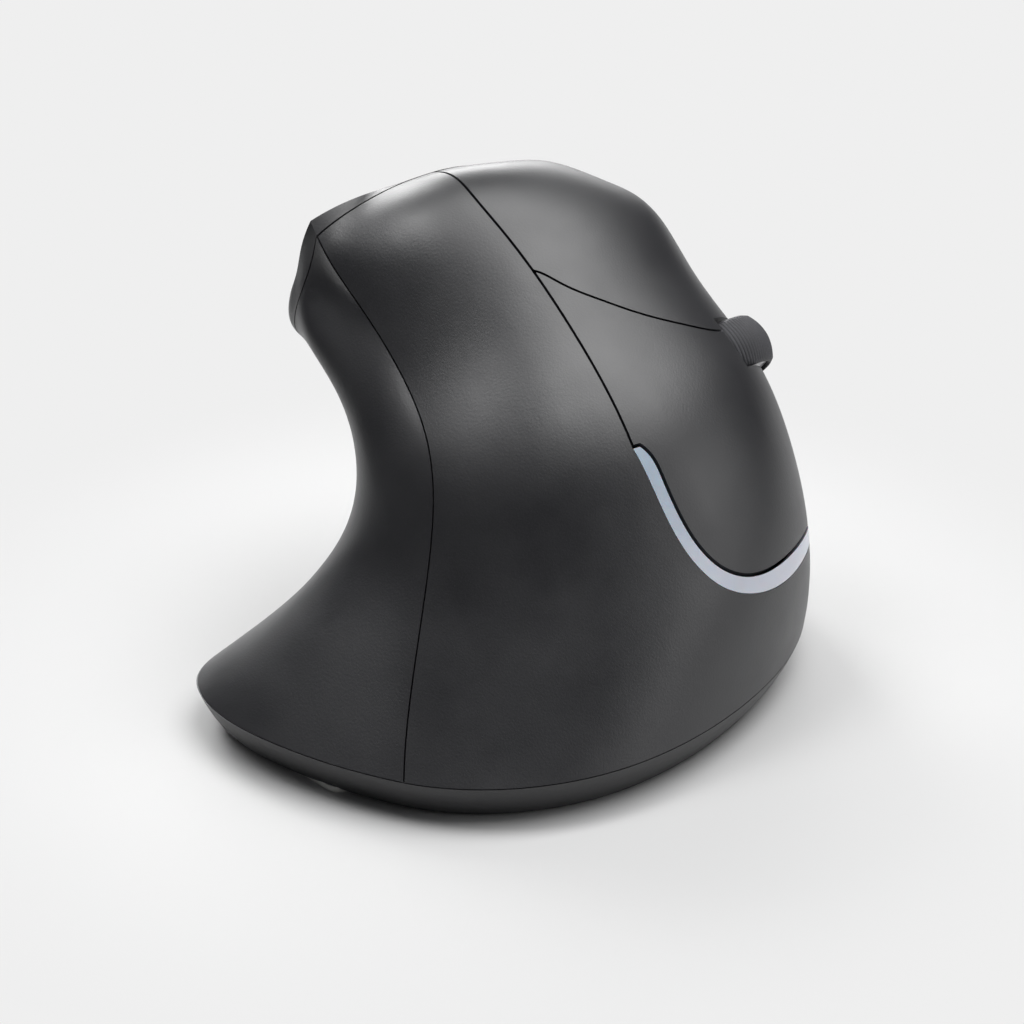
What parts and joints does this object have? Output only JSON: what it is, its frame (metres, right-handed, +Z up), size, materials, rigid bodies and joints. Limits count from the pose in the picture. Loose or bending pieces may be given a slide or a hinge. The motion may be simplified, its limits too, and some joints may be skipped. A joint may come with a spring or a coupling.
{
  "type": "vertical ergonomic mouse",
  "caption": "Upright hand-shake computer mouse for the right hand, with pressing buttons, a clicking scroll wheel, thumb buttons and a pale light strip.",
  "frame": {"origin": "on the desk surface, below the centre of the mouse's overall box", "axes": "+Z up, +Y towards the front where the fingertips rest, +X towards the palm side; the thumb side faces -X"},
  "size_m": [0.0791, 0.0999, 0.0758],
  "materials": {
    "housing_plastic": "satin, fine moulded grain, graphite",
    "panel_plastic": "satin, fine moulded grain, graphite",
    "button_plastic": "satin, fine moulded grain, graphite",
    "strip_plastic": "semi-gloss translucent, pale blue-grey",
    "tyre_rubber": "matt, ribbed, dark grey",
    "hub_plastic": "satin, pale grey",
    "inner_plastic": "matt moulded, black",
    "base_plastic": "matt, fine moulded grain, near black",
    "skate_plastic": "smooth low-friction sheet, off-white",
    "circuit_board": "solder mask, green",
    "switch_plastic": "matt moulded, black",
    "plunger_plastic": "smooth moulded, orange",
    "steel": "drawn steel",
    "port_steel": "formed steel, nickel plated",
    "cell_wrap": "shrink film, grey",
    "sensor_package": "moulded package, black",
    "lens": "clear moulded lens",
    "led_lens": "clear epoxy",
    "knob_plastic": "satin, mid grey"
  },
  "bodies": {
    "housing": {"main_cover": "housing_plastic", "front_trim": "housing_plastic", "thumb_cover": "housing_plastic", "thumb_panel": "panel_plastic", "light_strip": "strip_plastic", "indicator_led": "led_lens", "left_hinge_pin": "steel", "right_hinge_pin": "steel", "button_frame": "inner_plastic", "click_board": "circuit_board", "left_click_switch": "switch_plastic", "right_click_switch": "switch_plastic", "middle_click_switch": "switch_plastic", "side_switch_front": "switch_plastic", "side_switch_rear": "switch_plastic", "side_button_board": "circuit_board", "bottom_case": "base_plastic", "front_skate": "skate_plastic", "rear_skate": "skate_plastic", "case_screws": "steel", "main_board": "circuit_board", "optical_sensor": "sensor_package", "sensor_lens": "lens", "battery": "cell_wrap", "usb_c_port": "port_steel", "power_switch": "switch_plastic", "mode_switch": "switch_plastic"},
    "left_button": {"left_button": "button_plastic"},
    "right_button": {"right_button": "button_plastic"},
    "left_click_plunger": {"left_click_plunger": "plunger_plastic"},
    "right_click_plunger": {"right_click_plunger": "plunger_plastic"},
    "wheel_cradle": {"wheel_cradle": "inner_plastic", "wheel_axle": "steel", "wheel_encoder": "switch_plastic"},
    "scroll_wheel": {"scroll_wheel_hub": "hub_plastic", "scroll_wheel_tyre": "tyre_rubber"},
    "middle_click_plunger": {"middle_click_plunger": "plunger_plastic"},
    "side_button_front": {"side_button_front": "button_plastic"},
    "side_button_rear": {"side_button_rear": "button_plastic"},
    "side_plunger_front": {"side_plunger_front": "plunger_plastic"},
    "side_plunger_rear": {"side_plunger_rear": "plunger_plastic"},
    "power_knob": {"power_knob": "knob_plastic"},
    "mode_button": {"mode_button": "knob_plastic"},
    "mode_plunger": {"mode_plunger": "plunger_plastic"}
  },
  "joints": [
    {"name": "left_click", "type": "hinge", "parent": "housing", "child": "left_button", "pos_m": [-0.0128, 0.011, 0.06449], "axis": [0.7193, 0, -0.6947], "range_deg": [-1.3, 0], "stiffness_Nm_per_rad": 0.3, "springref_deg": 1.15},
    {"name": "right_click", "type": "hinge", "parent": "housing", "child": "right_button", "pos_m": [0.00519, 0.009, 0.04712], "axis": [0.7193, 0, -0.6947], "range_deg": [-1.3, 0], "stiffness_Nm_per_rad": 0.3, "springref_deg": 1.15},
    {"name": "left_plunger_travel", "type": "slide", "parent": "housing", "child": "left_click_plunger", "axis": [0.6947, 0, 0.7193], "range_m": [-0.0005, 0]},
    {"name": "right_plunger_travel", "type": "slide", "parent": "housing", "child": "right_click_plunger", "axis": [0.6947, 0, 0.7193], "range_m": [-0.0005, 0]},
    {"name": "wheel_press", "type": "slide", "parent": "housing", "child": "wheel_cradle", "axis": [0.6947, 0, 0.7193], "range_m": [-0.0006, 0], "stiffness_N_per_m": 800, "springref_m": 0.0005},
    {"name": "wheel_spin", "type": "hinge", "parent": "wheel_cradle", "child": "scroll_wheel", "pos_m": [0.00539, 0.034, 0.04373], "axis": [0.7193, 0, -0.6947], "continuous": true},
    {"name": "middle_plunger_travel", "type": "slide", "parent": "housing", "child": "middle_click_plunger", "axis": [0.6947, 0, 0.7193], "range_m": [-0.0006, 0]},
    {"name": "side_press_front", "type": "slide", "parent": "housing", "child": "side_button_front", "axis": [-0.8188, 0.1297, -0.5592], "range_m": [-0.0006, 0], "stiffness_N_per_m": 900, "springref_m": 0.0004},
    {"name": "side_press_rear", "type": "slide", "parent": "housing", "child": "side_button_rear", "axis": [-0.8188, 0.1297, -0.5592], "range_m": [-0.0006, 0], "stiffness_N_per_m": 900, "springref_m": 0.0004},
    {"name": "side_plunger_front_travel", "type": "slide", "parent": "housing", "child": "side_plunger_front", "axis": [-0.8188, 0.1297, -0.5592], "range_m": [-0.0006, 0]},
    {"name": "side_plunger_rear_travel", "type": "slide", "parent": "housing", "child": "side_plunger_rear", "axis": [-0.8188, 0.1297, -0.5592], "range_m": [-0.0006, 0]},
    {"name": "power_slide", "type": "slide", "parent": "housing", "child": "power_knob", "axis": [0, 1, 0], "range_m": [-0.001, 0.001]},
    {"name": "mode_press", "type": "slide", "parent": "housing", "child": "mode_button", "axis": [0, 0, 1], "range_m": [0, 0.0003], "stiffness_N_per_m": 2000, "springref_m": -0.0003},
    {"name": "mode_plunger_travel", "type": "slide", "parent": "housing", "child": "mode_plunger", "axis": [0, 0, 1], "range_m": [0, 0.0003]}
  ],
  "couplings": [
    {"joint": "left_plunger_travel", "follows": "left_click", "m_per_rad": 0.0165},
    {"joint": "right_plunger_travel", "follows": "right_click", "m_per_rad": 0.0185},
    {"joint": "middle_plunger_travel", "follows": "wheel_press", "ratio": 1},
    {"joint": "side_plunger_front_travel", "follows": "side_press_front", "ratio": 1},
    {"joint": "side_plunger_rear_travel", "follows": "side_press_rear", "ratio": 1},
    {"joint": "mode_plunger_travel", "follows": "mode_press", "ratio": 1}
  ]
}
